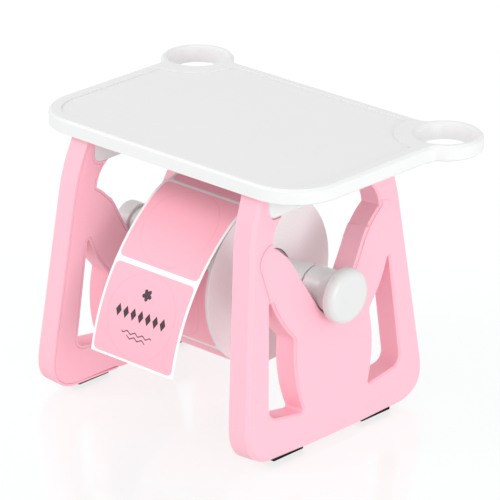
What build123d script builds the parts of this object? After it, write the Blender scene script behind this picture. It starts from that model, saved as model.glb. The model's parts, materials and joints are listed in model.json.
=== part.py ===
"""Label roll holder: two leaning side frames carry a tray and a spindle with a roll of labels.

Millimetres, +Z up, +X to the right, the label strip hangs towards -Y. The origin is the middle of
the footprint, on the surface that the four rubber pads stand on.
"""
from build123d import *
from math import atan, cos, degrees, pi, radians, sin
import os

# Shared values
CUT_OVERRUN = 4.0
SEAT_GAP = 0.15
RUNNING_GAP = 0.3
FIT_GAP = 0.05
WALL = 2.4

# Side frames: a leaning panel shaped as a sitting rabbit between two legs
FRAME_Y = -7.5
FRAME_THICKNESS = 11.8
FRAME_FOOT_X = 70.3
FRAME_HEIGHT = 128.7
FRAME_LEAN_IN = 9.6
LEG_HALF_SPAN_FOOT = 62.6
LEG_HALF_SPAN_TOP = 47.6
FOOT_CORNER_RADIUS = 20.0
FOOT_ARCH_HALF = 14.0
FOOT_ARCH_RISE = 1.6
FOOT_ARCH_SLOPE = 4.0
LEG_CHAMFER = 1.7
RIM_CHAMFER = 0.9
RAISE_MARGIN = 0.1
LEG_TOP_BLOCK = 10.0

# The notch in the top of each leg, for the end of the tray's rail, and the arch below it
RAIL_HALF_LENGTH = 38.4
RAIL_BOTTOM_SHARE = 0.904
RAIL_CORNER_RADIUS = 4.5
RAIL_CHAMFER = 1.2
ARCH_INNER = 29.0
ARCH_MID_OUT = 34.4
ARCH_MID_SHARE = 0.857

# Ears and the V between them
EAR_CUSP_OUT = 36.4
EAR_CUSP_SHARE = 0.802
FLANK_ANGLE = 33.0
FLANK_TOP_OUT = 27.0
EAR_TIP_OUT = 46.2
EAR_TIP_SHARE = 0.754
EAR_SHOULDER_OUT = 43.6
EAR_SHOULDER_SHARE = 0.797
EAR_RAISE = 0.5
EAR_OVERLAP = 3.0

# The opening between each leg and the rabbit's body
GAP_APEX_OUT = 40.6
GAP_APEX_SHARE = 0.626
GAP_APEX_RADIUS = 0.8
GAP_EAR_OUT = 34.5
GAP_EAR_SHARE = 0.525
GAP_CHEEK_OUT = 25.4
GAP_CHEEK_SHARE = 0.436
GAP_CHEEK_RADIUS = 4.0
GAP_BODY_OUT = 26.4
GAP_BODY_SHARE = 0.295
GAP_HEEL_OUT = 21.6
GAP_HEEL_SHARE = 0.151
GAP_HEEL_RADIUS = 1.2
GAP_FOOT_OUT = 45.2
GAP_FOOT_SHARE = 0.179
GAP_FOOT_RADIUS = 5.5

# Inner covers that close the hollow frames, and their screws
COVER_THICKNESS = 2.0
COVER_RIM = 1.2
SCREW_OUT = 30.0
SCREW_RADIUS = 1.4
SCREW_LENGTH = 8.5
SCREW_HEAD_RADIUS = 2.5
SCREW_HEAD_HEIGHT = 1.8
SCREW_RECESS_RADIUS = 1.0
SCREW_RECESS_DEPTH = 1.0
BOSS_WALL = 1.6
LUG_WIDTH = 8.0
LUG_HEIGHT = 8.0
LUG_DEPTH = 3.0

# Rubber pads
PAD_HEIGHT = 3.0
PAD_INNER_OUT = 20.0
PAD_OUTER_OUT = 40.5
PAD_WIDTH = 6.4
PAD_INSET = 3.6
PAD_SOCKET_DEPTH = 1.0
PAD_CHAMFER = 0.7

# Tray
TRAY_Y = 2.9
TRAY_WIDTH = 172.6
TRAY_DEPTH = 114.2
TRAY_THICKNESS = 7.7
TRAY_FRONT_RADIUS = 25.0
TRAY_TOP_CHAMFER = 1.2
TRAY_BOTTOM_CHAMFER = 0.8
TRAY_SKIN = 2.2
TRAY_SKIRT = 2.8
TRAY_RIM_WIDTH = 6.0
TRAY_BACK_RIM_WIDTH = 4.2
TRAY_PANEL_DEPTH = 0.6
TRAY_PANEL_CORNER = 3.0
TRAY_RIB = 1.8
TRAY_RIB_SHORT = 0.8
RIB_SHARES = (-0.17, 0.17)
BAND_MARGIN = 1.6
RING_X = 79.2
RING_Y = 54.3
RING_RADIUS = 17.9
RING_BORE_TOP_RADIUS = 14.4
RING_BORE_BOTTOM_RADIUS = 12.4
RING_EDGE_CHAMFER = 1.0
RING_BLEND_RADIUS = 7.0
PEG_RADIUS = 1.8
PEG_LENGTH = 7.0

# Spindle
SPINDLE_SHARE = 0.561
ROD_RADIUS = 4.0
ROD_IN_KNOB = 7.4
ROD_CHAMFER = 0.8
BARREL_RADIUS = 9.8
BARREL_SETBACK = 1.5
BARREL_LENGTH = 9.4
FLARE_LENGTH = 7.4
FLARE_SAG = 0.8
CAP_RADIUS = 13.3
CAP_THICKNESS = 5.8
CAP_FRONT_ROUNDING = 4.0
HUB_SETBACK = 3.4
HUB_LENGTH = 8.4
HUB_CHAMFER = 0.8
PLUG_LARGE_RADIUS = 9.6
PLUG_TIP_RADIUS = 6.5
PLUG_LENGTH = 37.0
PLUG_TIP_CHAMFER = 0.9
SEAM_WIDTH = 1.2
SEAM_DEPTH = 1.2
SPIGOT_RADIUS = 7.0
SPIGOT_LENGTH = 6.0
GROOVE_RADIUS = 3.2
GROOVE_WIDTH = 1.6
GROOVE_FROM_END = 8.0
GRIP_GAP = 0.03

# Roll of labels and the strip that hangs from it
ROLL_X = -0.7
ROLL_RADIUS = 41.6
LINER_WIDTH = 53.0
LINER_THICKNESS = 0.3
CORE_BORE_RADIUS = 12.7
CORE_WALL = 2.0
LABEL_WIDTH = 50.0
LABEL_LENGTH = 42.8
LABEL_GAP = 2.6
LABEL_THICKNESS = 0.2
LABEL_LIFT = 0.05
LABEL_CORNER_RADIUS = 2.6
ROLL_LABEL_COUNT = 6
STRIP_LEAVE_ANGLE = 38.0
STRIP_GAP_ANGLE = 18.3
STRIP_HANG_RADIUS = 105.0
STRIP_END_MARGIN = 1.2

# Worked-out values
LEAN = atan(FRAME_LEAN_IN / FRAME_HEIGHT)
FLANK = radians(FLANK_ANGLE)
RAIL_BOTTOM_Z = FRAME_HEIGHT * RAIL_BOTTOM_SHARE
ARCH_MID_Z = FRAME_HEIGHT * ARCH_MID_SHARE
EAR_CUSP_Z = FRAME_HEIGHT * EAR_CUSP_SHARE
EAR_TIP_Z = FRAME_HEIGHT * EAR_TIP_SHARE
EAR_SHOULDER_Z = FRAME_HEIGHT * EAR_SHOULDER_SHARE
GAP_APEX_Z = FRAME_HEIGHT * GAP_APEX_SHARE
GAP_EAR_Z = FRAME_HEIGHT * GAP_EAR_SHARE
GAP_CHEEK_Z = FRAME_HEIGHT * GAP_CHEEK_SHARE
GAP_BODY_Z = FRAME_HEIGHT * GAP_BODY_SHARE
GAP_HEEL_Z = FRAME_HEIGHT * GAP_HEEL_SHARE
GAP_FOOT_Z = FRAME_HEIGHT * GAP_FOOT_SHARE
SPINDLE_Z = FRAME_HEIGHT * SPINDLE_SHARE
SEAT_RADIUS = BARREL_RADIUS + RUNNING_GAP
TRAY_TOP_Z = FRAME_HEIGHT + TRAY_THICKNESS
LABEL_PITCH = LABEL_LENGTH + LABEL_GAP
BARREL_START_X = FRAME_FOOT_X - FRAME_LEAN_IN * SPINDLE_SHARE - FRAME_THICKNESS + BARREL_SETBACK
FLARE_START_X = BARREL_START_X + BARREL_LENGTH
CAP_BACK_X = FLARE_START_X + FLARE_LENGTH
CAP_FRONT_X = CAP_BACK_X + CAP_THICKNESS
HUB_START_X = BARREL_START_X + HUB_SETBACK
HUB_END_X = HUB_START_X + HUB_LENGTH
ROD_HALF_LENGTH = BARREL_START_X + ROD_IN_KNOB
PLUG_END_X = BARREL_START_X - SEAM_WIDTH
PLUG_TIP_X = PLUG_END_X - PLUG_LENGTH
PLUG_SLOPE = (PLUG_LARGE_RADIUS - PLUG_TIP_RADIUS) / (PLUG_END_X - PLUG_TIP_X)
PLUG_AT_ROLL = PLUG_TIP_RADIUS + PLUG_SLOPE * (LINER_WIDTH / 2 - PLUG_TIP_X)
ROLL_Z = SPINDLE_Z - (CORE_BORE_RADIUS - PLUG_AT_ROLL - RUNNING_GAP)
CORE_RADIUS = CORE_BORE_RADIUS + CORE_WALL
STRIP_RADIUS = ROLL_RADIUS + RUNNING_GAP
STRIP_START = -radians(STRIP_LEAVE_ANGLE - STRIP_GAP_ANGLE) * STRIP_RADIUS
STRIP_END = STRIP_START + LABEL_GAP / 2 + LABEL_LENGTH + LABEL_PITCH + STRIP_END_MARGIN
PAD_X = FRAME_FOOT_X - PAD_INSET - PAD_WIDTH / 2
SOCKET_Z = PAD_HEIGHT + PAD_SOCKET_DEPTH
SHANK_Z = SOCKET_Z + SCREW_HEAD_HEIGHT
BOSS_Z = SHANK_Z + WALL
PEG_X = FRAME_FOOT_X - FRAME_LEAN_IN - FRAME_THICKNESS / 2
PEG_OUT = (RAIL_HALF_LENGTH + SEAT_GAP + LEG_HALF_SPAN_TOP) / 2
TRAY_CEILING = TRAY_TOP_Z - TRAY_PANEL_DEPTH - TRAY_SKIN
ROD_END = ROD_HALF_LENGTH + SEAT_GAP
WOUND_RADIUS = ROLL_RADIUS - LABEL_THICKNESS - LABEL_LIFT
PANEL = Plane(origin=(FRAME_FOOT_X, FRAME_Y, 0), x_dir=(0, 1, 0), z_dir=(cos(LEAN), 0, sin(LEAN)))
OUTWARD = Axis(PANEL.origin, PANEL.z_dir)
TALL = FRAME_HEIGHT + TRAY_THICKNESS
BROAD = TRAY_WIDTH


# Helpers

def on_panel(out, height):
    """A point of the panel: out from its middle line, at a height above the ground."""
    return (out, height / cos(LEAN))


def both_sides(edges):
    """A face from the edges of its right half, which starts and ends on the middle line."""
    return make_face(edges + [edge.mirror(Plane.YZ) for edge in edges]).face()


def rounded(face, radius, *points):
    """The face with its corners at these points rounded."""
    corners = [face.vertices().sort_by_distance((point[0], point[1], 0))[0] for point in points]
    return face.fillet_2d(radius, corners)


def grown(face, amount):
    """The face grown on all sides by an amount, or shrunk by a negative one."""
    return offset(face, amount=amount)


def above(height):
    """A block that holds all that lies above a height."""
    block = Box(BROAD, BROAD, TALL, align=(Align.CENTER, Align.CENTER, Align.MIN))
    return Location((0, 0, height)) * block


def below(height):
    """A block that holds all that lies below a height."""
    block = Box(BROAD, BROAD, TALL, align=(Align.CENTER, Align.CENTER, Align.MAX))
    return Location((0, 0, height)) * block


def panel_block(face, top, depth):
    """A face of the panel drawn inwards from a depth below the panel's outer face."""
    placed = Plane(origin=PANEL.origin - PANEL.z_dir * top, x_dir=PANEL.x_dir, z_dir=PANEL.z_dir) * face
    return extrude(placed, amount=depth, dir=-PANEL.z_dir)


def spun(face, axis_y, axis_z):
    """A face drawn as (x, radius), turned about an axis along X."""
    return Location((0, axis_y, axis_z)) * revolve(face, axis=Axis.X)


def turned(axis_y, axis_z, *points):
    """A solid of revolution about an axis along X, from corners of (x, radius)."""
    return spun(make_face(Polyline(*points, close=True)), axis_y, axis_z)


def leg_out(height):
    """How far the outer edge of a leg lies from the middle of the frame."""
    share = (height - PAD_HEIGHT) / (FRAME_HEIGHT - PAD_HEIGHT)
    return LEG_HALF_SPAN_FOOT + (LEG_HALF_SPAN_TOP - LEG_HALF_SPAN_FOOT) * share


# Side frame outlines, drawn on the leaning panel

def panel_face():
    """The whole panel from the feet to the leg tops, with the space over the ears open."""
    top = FRAME_HEIGHT + CUT_OVERRUN
    corner = on_panel(leg_out(PAD_HEIGHT), PAD_HEIGHT)
    ear_cusp = on_panel(EAR_CUSP_OUT, EAR_CUSP_Z)
    ear_top = on_panel(FLANK_TOP_OUT, flank_z(FLANK_TOP_OUT))
    edges = list(Polyline(
        on_panel(0, PAD_HEIGHT),
        corner,
        on_panel(leg_out(top), top),
        on_panel(ARCH_INNER, top),
        on_panel(ARCH_INNER, RAIL_BOTTOM_Z),
    ).edges())
    arch_mid = on_panel(ARCH_MID_OUT, ARCH_MID_Z)
    edges += ThreePointArc(on_panel(ARCH_INNER, RAIL_BOTTOM_Z), arch_mid, ear_cusp).edges()
    edges += Polyline(ear_cusp, ear_top, on_panel(0, flank_z(FLANK_TOP_OUT))).edges()
    face = both_sides(edges)
    return rounded(face, FOOT_CORNER_RADIUS, corner, (-corner[0], corner[1]))


def flank_z(out):
    """The height of the V's flank at a distance from the middle line."""
    return SPINDLE_Z + (out - SEAT_RADIUS / cos(FLANK)) * cos(FLANK) / sin(FLANK)


def gap_face():
    """The opening between the rear leg and the rabbit's body."""
    apex = on_panel(GAP_APEX_OUT, GAP_APEX_Z)
    cheek = on_panel(GAP_CHEEK_OUT, GAP_CHEEK_Z)
    heel = on_panel(GAP_HEEL_OUT, GAP_HEEL_Z)
    foot = on_panel(GAP_FOOT_OUT, GAP_FOOT_Z)
    edges = list(ThreePointArc(apex, on_panel(GAP_EAR_OUT, GAP_EAR_Z), cheek).edges())
    edges += ThreePointArc(cheek, on_panel(GAP_BODY_OUT, GAP_BODY_Z), heel).edges()
    edges += Polyline(heel, foot, apex).edges()
    face = make_face(edges).face()
    face = rounded(face, GAP_FOOT_RADIUS, foot)
    face = rounded(face, GAP_CHEEK_RADIUS, cheek)
    face = rounded(face, GAP_HEEL_RADIUS, heel)
    return rounded(face, GAP_APEX_RADIUS, apex)


def gaps(amount):
    """Both openings between the legs and the body, grown by an amount."""
    face = grown(gap_face(), amount) if amount else gap_face()
    return Sketch() + face + mirror(face, about=Plane.YZ)


def rail_face(gap, rise):
    """The tray's rail as seen from the side, grown by a gap and drawn up past its top."""
    half = RAIL_HALF_LENGTH + gap
    low = on_panel(0, RAIL_BOTTOM_Z)[1] - gap
    high = on_panel(0, FRAME_HEIGHT + rise)[1]
    face = (Location((0, (low + high) / 2)) * Rectangle(2 * half, high - low)).face()
    return rounded(face, RAIL_CORNER_RADIUS + gap, (half, low), (-half, low))


def rabbit_face():
    """The raised outline of the rabbit: its body, and the ear tips that lie over the legs."""
    heel = on_panel(GAP_HEEL_OUT, GAP_HEEL_Z)
    root = on_panel(GAP_APEX_OUT, GAP_APEX_Z - EAR_OVERLAP)
    side = on_panel((GAP_APEX_OUT + EAR_TIP_OUT) / 2 + EAR_RAISE, (GAP_APEX_Z + EAR_TIP_Z) / 2)
    tip = on_panel(EAR_TIP_OUT, EAR_TIP_Z)
    crown = on_panel(EAR_CUSP_OUT - EAR_OVERLAP, EAR_CUSP_Z + EAR_OVERLAP / 2)
    edges = list(Polyline(on_panel(0, GAP_HEEL_Z), heel, root).edges())
    edges += ThreePointArc(root, side, tip).edges()
    edges += ThreePointArc(tip, on_panel(EAR_SHOULDER_OUT, EAR_SHOULDER_Z), crown).edges()
    edges += Line(crown, on_panel(0, EAR_CUSP_Z + EAR_OVERLAP / 2)).edges()
    return both_sides(edges)


def v_block(gap):
    """The V for the spindle, grown by a gap. It runs level through the leaning frame."""
    radius = SEAT_RADIUS + gap
    top_z = (EAR_CUSP_Z + flank_z(FLANK_TOP_OUT)) / 2
    half = radius / cos(FLANK) + (top_z - SPINDLE_Z) * sin(FLANK) / cos(FLANK)
    side_y = radius * cos(FLANK)
    side_z = SPINDLE_Z - radius * sin(FLANK)
    points = [(0, -half, top_z), (0, -side_y, side_z), (0, side_y, side_z), (0, half, top_z)]
    wedge = extrude(make_face(Polyline(*points, close=True)), amount=BROAD, dir=(1, 0, 0))
    round_seat = Cylinder(radius, BROAD, rotation=(0, 90, 0), align=(Align.CENTER, Align.CENTER, Align.MIN))
    return Location((0, FRAME_Y, 0)) * (wedge + Location((0, 0, SPINDLE_Z)) * round_seat)


# Side frame

def frame_blank():
    """The solid leaning frame with its V, gaps and notches."""
    face = panel_face() - gaps(0) - rail_face(SEAT_GAP, 2 * CUT_OVERRUN)
    blank = panel_block(face, 0, FRAME_THICKNESS)
    return blank - v_block(0) - above(FRAME_HEIGHT)


def frame_shrunk(margin):
    """The panel's outline shrunk by a margin along all its edges, also those of the gaps."""
    return grown(panel_face(), -margin) - gaps(margin) - rail_face(SEAT_GAP + margin, CUT_OVERRUN)


def cover_block(gap):
    """The inner cover, or the recess that holds it, which is larger by the fit."""
    face = frame_shrunk(COVER_RIM + gap)
    block = panel_block(face, FRAME_THICKNESS - COVER_THICKNESS, COVER_THICKNESS)
    return block - v_block(COVER_RIM + gap) - above(FRAME_HEIGHT - COVER_RIM - gap)


def raised_rabbit():
    """The slightly raised body and ears, which fade out towards the feet."""
    margin = RIM_CHAMFER + RAISE_MARGIN
    face = rabbit_face() & (grown(panel_face(), -margin) - gaps(margin))
    block = panel_block(face, -EAR_RAISE, 2 * EAR_RAISE) - v_block(margin)
    start = PANEL.from_local_coords((0, on_panel(0, GAP_HEEL_Z)[1], 0))
    full = PANEL.from_local_coords((0, on_panel(0, GAP_APEX_Z)[1], EAR_RAISE))
    top = PANEL.from_local_coords((0, on_panel(0, FRAME_HEIGHT)[1], EAR_RAISE))
    top_in = PANEL.from_local_coords((0, on_panel(0, FRAME_HEIGHT)[1], -FRAME_THICKNESS))
    start_in = PANEL.from_local_coords((0, on_panel(0, GAP_HEEL_Z)[1], -FRAME_THICKNESS))
    profile = make_face(Polyline(start, full, top, top_in, start_in, close=True))
    return block & extrude(profile, amount=BROAD / 2, both=True)


def boss_posts(radius, low, high):
    """Upright posts at both screws, between two heights."""
    post = Cylinder(radius, high - low, align=(Align.CENTER, Align.CENTER, Align.MIN))
    places = [Location((PAD_X, FRAME_Y + side * SCREW_OUT, low)) for side in (-1, 1)]
    return Part() + [place * post for place in places]


def foot_arch():
    """The shallow arch under the frame, between its pads."""
    low = FRAME_Y - FOOT_ARCH_HALF - FOOT_ARCH_SLOPE
    high = FRAME_Y + FOOT_ARCH_HALF + FOOT_ARCH_SLOPE
    edge_z = PAD_HEIGHT - FOOT_ARCH_RISE
    arch_z = PAD_HEIGHT + FOOT_ARCH_RISE
    points = [(0, low, 0), (0, low, edge_z), (0, low + FOOT_ARCH_SLOPE, arch_z),
              (0, high - FOOT_ARCH_SLOPE, arch_z), (0, high, edge_z), (0, high, 0)]
    return extrude(make_face(Polyline(*points, close=True)), amount=BROAD, dir=(1, 0, 0))


def pad_block(side, gap):
    """A pad, or the socket that it sits in, in front of the middle or behind it."""
    length = PAD_OUTER_OUT - PAD_INNER_OUT + 2 * gap
    block = Box(PAD_WIDTH + 2 * gap, length, SOCKET_Z, align=(Align.CENTER, Align.CENTER, Align.MIN))
    return Location((PAD_X, FRAME_Y + side * (PAD_INNER_OUT + PAD_OUTER_OUT) / 2, 0)) * block


def foot_pad(side):
    """A rubber pad with softened corners and sole."""
    pad = pad_block(side, 0)
    pad = chamfer(pad.edges().filter_by(Axis.Z), PAD_CHAMFER)
    return chamfer(pad.faces().sort_by(Axis.Z)[0].edges(), PAD_CHAMFER / 2)


def is_outline(edge):
    """Whether an edge of the outer face lies along a leg's outer side or under the feet."""
    middle = edge.center()
    return abs(middle.Y - FRAME_Y) > EAR_TIP_OUT or middle.Z < GAP_HEEL_Z - GAP_HEEL_RADIUS - RIM_CHAMFER


def is_rim(edge):
    """Whether an edge of the outer face lies along the ears, the V or an opening beside the body."""
    middle = edge.center()
    low = GAP_HEEL_Z - GAP_HEEL_RADIUS - RIM_CHAMFER
    return abs(middle.Y - FRAME_Y) < EAR_TIP_OUT and low < middle.Z < RAIL_BOTTOM_Z - 2 * SEAT_GAP


def side_frame():
    """The right-hand side frame: a hollow shell that is open on its inner side."""
    frame = frame_blank()
    front = frame.faces().sort_by(OUTWARD)[-1]
    outline = [edge for edge in front.outer_wire().edges() if is_outline(edge)]
    frame = chamfer(outline, LEG_CHAMFER)
    front = frame.faces().sort_by(OUTWARD)[-1]
    rims = [edge for edge in front.edges() if is_rim(edge)]
    frame = chamfer(rims, RIM_CHAMFER) + raised_rabbit()
    cavity = panel_block(frame_shrunk(WALL), WALL, FRAME_THICKNESS)
    cavity = cavity - v_block(WALL) - above(FRAME_HEIGHT - LEG_TOP_BLOCK) - below(SOCKET_Z + WALL)
    cavity = cavity - boss_posts(SCREW_HEAD_RADIUS + SEAT_GAP + BOSS_WALL, 0, BOSS_Z)
    frame = frame - cavity - cover_block(0) - foot_arch()
    frame = frame - pad_block(-1, SEAT_GAP) - pad_block(1, SEAT_GAP)
    frame = frame - boss_posts(SCREW_HEAD_RADIUS + SEAT_GAP, 0, SHANK_Z)
    frame = frame - boss_posts(SCREW_RADIUS + SEAT_GAP, 0, BOSS_Z + CUT_OVERRUN)
    return frame - pegs(SEAT_GAP)


def pegs(gap):
    """The tray's pegs that plug into both leg tops, or their holes."""
    length = PEG_LENGTH + gap
    peg = Cylinder(PEG_RADIUS + gap, length, align=(Align.CENTER, Align.CENTER, Align.MAX))
    places = [Location((PEG_X, FRAME_Y + side * PEG_OUT, FRAME_HEIGHT)) for side in (-1, 1)]
    return Part() + [place * peg for place in places]


def frame_cover():
    """The inner cover of the right-hand frame, with a lug for each screw."""
    middle = BOSS_Z + SEAT_GAP + LUG_HEIGHT / 2
    lug = Rectangle(LUG_WIDTH, LUG_HEIGHT)
    lugs = Sketch() + [Location(on_panel(side * SCREW_OUT, middle)) * lug for side in (-1, 1)]
    depth = FRAME_THICKNESS - COVER_THICKNESS / 2 - LUG_DEPTH
    lugs = panel_block(lugs, LUG_DEPTH, depth) - below(BOSS_Z + SEAT_GAP)
    cover = cover_block(SEAT_GAP) - below(SOCKET_Z + WALL) + lugs
    return cover - boss_posts(SCREW_RADIUS + FIT_GAP, SHANK_Z, SHANK_Z + SCREW_LENGTH + SEAT_GAP)


def cover_screws():
    """The two screws of the right-hand frame, driven up from under the pads."""
    head = boss_posts(SCREW_HEAD_RADIUS, SOCKET_Z, SHANK_Z)
    shank = boss_posts(SCREW_RADIUS, SOCKET_Z, SHANK_Z + SCREW_LENGTH)
    recess = extrude(RegularPolygon(SCREW_RECESS_RADIUS, 6), amount=SCREW_RECESS_DEPTH)
    places = [Location((PAD_X, FRAME_Y + side * SCREW_OUT, SOCKET_Z)) for side in (-1, 1)]
    return head + shank - [place * recess for place in places]


# Tray

def tray_rectangle(inset, radius):
    """The tray's outline from above without its rings, inset by a distance."""
    half_x = TRAY_WIDTH / 2 - inset
    half_y = TRAY_DEPTH / 2 - inset
    face = Rectangle(2 * half_x, 2 * half_y).face()
    return Location((0, TRAY_Y)) * rounded(face, radius, (-half_x, -half_y), (half_x, -half_y))


def ring_discs(radius):
    """A disc round the centre of each ring."""
    return Sketch() + [Location((side * RING_X, RING_Y)) * Circle(radius) for side in (-1, 1)]


def tray_blank():
    """The solid tray with its two rings, blended into its sides."""
    face = (Sketch() + tray_rectangle(0, TRAY_FRONT_RADIUS) + ring_discs(RING_RADIUS)).face()
    centre = Vector(RING_X, RING_Y)
    joints = [v for v in face.vertices() if abs((Vector(abs(v.X), v.Y) - centre).length - RING_RADIUS) < FIT_GAP]
    face = face.fillet_2d(RING_BLEND_RADIUS, joints)
    blank = extrude(Location((0, 0, FRAME_HEIGHT)) * face, amount=TRAY_THICKNESS, dir=(0, 0, 1))
    blank = chamfer(blank.faces().sort_by(Axis.Z)[-1].edges(), TRAY_TOP_CHAMFER)
    blank = chamfer(blank.faces().sort_by(Axis.Z)[0].edges(), TRAY_BOTTOM_CHAMFER)
    bore = Cone(RING_BORE_BOTTOM_RADIUS, RING_BORE_TOP_RADIUS, TRAY_THICKNESS,
                align=(Align.CENTER, Align.CENTER, Align.MIN))
    blank = blank - [Location((side * RING_X, RING_Y, FRAME_HEIGHT)) * bore for side in (-1, 1)]
    top = blank.faces().sort_by(Axis.Z)[-1]
    return chamfer([edge for wire in top.inner_wires() for edge in wire.edges()], RING_EDGE_CHAMFER)


def tray_panel():
    """The shallow recess inside the tray's rim, which runs round each ring."""
    face = tray_rectangle(TRAY_RIM_WIDTH, TRAY_FRONT_RADIUS - TRAY_RIM_WIDTH)
    face = Sketch() + face + Location((0, TRAY_RIM_WIDTH - TRAY_BACK_RIM_WIDTH)) * face
    face = (face - ring_discs(RING_RADIUS + TRAY_RIM_WIDTH)).clean().face()
    back = [v for v in face.vertices() if v.Y > 0]
    face = face.fillet_2d(TRAY_PANEL_CORNER, back)
    panel = Location((0, 0, TRAY_TOP_Z - TRAY_PANEL_DEPTH)) * face
    return extrude(panel, amount=TRAY_THICKNESS, dir=(0, 0, 1))


def tray_hollow():
    """The space under the tray, between its skirt, ribs, collars and the bands over the legs."""
    face = Sketch() + tray_rectangle(TRAY_SKIRT, TRAY_FRONT_RADIUS - TRAY_SKIRT) - ring_discs(RING_RADIUS)
    band_width = FRAME_THICKNESS + 2 * BAND_MARGIN
    band = Rectangle(band_width, 2 * (LEG_HALF_SPAN_TOP + BAND_MARGIN))
    face = face - [Location((side * PEG_X, FRAME_Y)) * band for side in (-1, 1)]
    hollow = extrude(Location((0, 0, FRAME_HEIGHT)) * face, amount=TRAY_CEILING - FRAME_HEIGHT, dir=(0, 0, 1))
    low = FRAME_HEIGHT + TRAY_RIB_SHORT
    across = Box(TRAY_WIDTH, TRAY_RIB, TRAY_THICKNESS, align=(Align.CENTER, Align.CENTER, Align.MIN))
    along = Box(TRAY_RIB, TRAY_DEPTH, TRAY_THICKNESS, align=(Align.CENTER, Align.CENTER, Align.MIN))
    ribs = [Location((0, TRAY_Y + TRAY_DEPTH * share, low)) * across for share in RIB_SHARES]
    ribs += [Location((TRAY_WIDTH * share, TRAY_Y, low)) * along for share in RIB_SHARES]
    return hollow - ribs


def tray_rail():
    """The rail under the tray's right side, whose ends fill the notches of the legs."""
    rail = panel_block(rail_face(0, CUT_OVERRUN), 0, FRAME_THICKNESS)
    rail = chamfer(rail.faces().sort_by(OUTWARD)[-1].edges(), RAIL_CHAMFER)
    return rail - above(FRAME_HEIGHT + TRAY_BOTTOM_CHAMFER)


def rail_hollow():
    """The space inside the rail, open below and closed by the tray above."""
    low = on_panel(0, RAIL_BOTTOM_Z)[1] - CUT_OVERRUN
    high = on_panel(0, TRAY_TOP_Z)[1]
    face = Location((0, (low + high) / 2)) * Rectangle(2 * (RAIL_HALF_LENGTH - WALL), high - low)
    return panel_block(face, WALL, FRAME_THICKNESS - 2 * WALL) - above(TRAY_CEILING)


def tray_deck():
    """The tray with its rings, panel, rails and pegs."""
    rail = tray_rail() + pegs(0)
    hollow = rail_hollow()
    deck = tray_blank() - tray_panel() - tray_hollow() + rail + mirror(rail, about=Plane.YZ)
    return deck - hollow - mirror(hollow, about=Plane.YZ)


# Spindle

def axle_rod():
    """The steel rod, with a groove near its right end for the grip ring."""
    groove = ROD_HALF_LENGTH - GROOVE_FROM_END
    half = GROOVE_WIDTH / 2
    inner = ROD_HALF_LENGTH - ROD_CHAMFER
    return turned(
        FRAME_Y, SPINDLE_Z,
        (-ROD_HALF_LENGTH, 0), (-ROD_HALF_LENGTH, ROD_RADIUS - ROD_CHAMFER), (-inner, ROD_RADIUS),
        (groove - half, ROD_RADIUS), (groove - half, GROOVE_RADIUS), (groove + half, GROOVE_RADIUS),
        (groove + half, ROD_RADIUS), (inner, ROD_RADIUS), (ROD_HALF_LENGTH, ROD_RADIUS - ROD_CHAMFER),
        (ROD_HALF_LENGTH, 0),
    )


def grip_ring():
    """The rubber ring in the rod's groove that holds the removable knob."""
    middle = ROD_HALF_LENGTH - GROOVE_FROM_END
    low = middle - GROOVE_WIDTH / 2 + GRIP_GAP
    high = middle + GROOVE_WIDTH / 2 - GRIP_GAP
    inner = GROOVE_RADIUS + GRIP_GAP
    outer = ROD_RADIUS + FIT_GAP - GRIP_GAP
    return turned(FRAME_Y, SPINDLE_Z, (low, inner), (low, outer), (high, outer), (high, inner))


def edges_at(part, axis_x, radius):
    """The round edges of a turned part at a place along its axis and a radius."""
    rings = part.edges().filter_by(GeomType.CIRCLE)
    rings = [edge for edge in rings if abs(edge.radius - radius) < FIT_GAP]
    return [edge for edge in rings if abs(edge.center(CenterOf.BOUNDING_BOX).X - axis_x) < FIT_GAP]


def knob():
    """The right-hand knob: a barrel that rests in the V and flares out into a round cap."""
    socket_end = BARREL_START_X + SPIGOT_LENGTH + SEAT_GAP
    flare_end = (CAP_BACK_X, CAP_RADIUS)
    edges = list(Polyline(
        flare_end, (CAP_FRONT_X, CAP_RADIUS), (CAP_FRONT_X, 0),
        (ROD_END, 0), (ROD_END, ROD_RADIUS + FIT_GAP), (socket_end, ROD_RADIUS + FIT_GAP),
        (socket_end, SPIGOT_RADIUS + SEAT_GAP), (BARREL_START_X, SPIGOT_RADIUS + SEAT_GAP),
        (BARREL_START_X, BARREL_RADIUS), (FLARE_START_X, BARREL_RADIUS),
    ).edges())
    edges += SagittaArc((FLARE_START_X, BARREL_RADIUS), flare_end, -FLARE_SAG).edges()
    part = spun(make_face(edges), FRAME_Y, SPINDLE_Z)
    return fillet(edges_at(part, CAP_FRONT_X, CAP_RADIUS), CAP_FRONT_ROUNDING)


def hub():
    """The left-hand hub, drawn on the right: a short barrel whose end is flat."""
    socket_end = BARREL_START_X + SPIGOT_LENGTH + SEAT_GAP
    part = turned(
        FRAME_Y, SPINDLE_Z,
        (HUB_START_X, SPIGOT_RADIUS + SEAT_GAP), (HUB_START_X, BARREL_RADIUS),
        (HUB_END_X, BARREL_RADIUS), (HUB_END_X, 0), (ROD_END, 0), (ROD_END, ROD_RADIUS + FIT_GAP),
        (socket_end, ROD_RADIUS + FIT_GAP), (socket_end, SPIGOT_RADIUS + SEAT_GAP),
    )
    return chamfer(edges_at(part, HUB_END_X, BARREL_RADIUS), HUB_CHAMFER)


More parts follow.
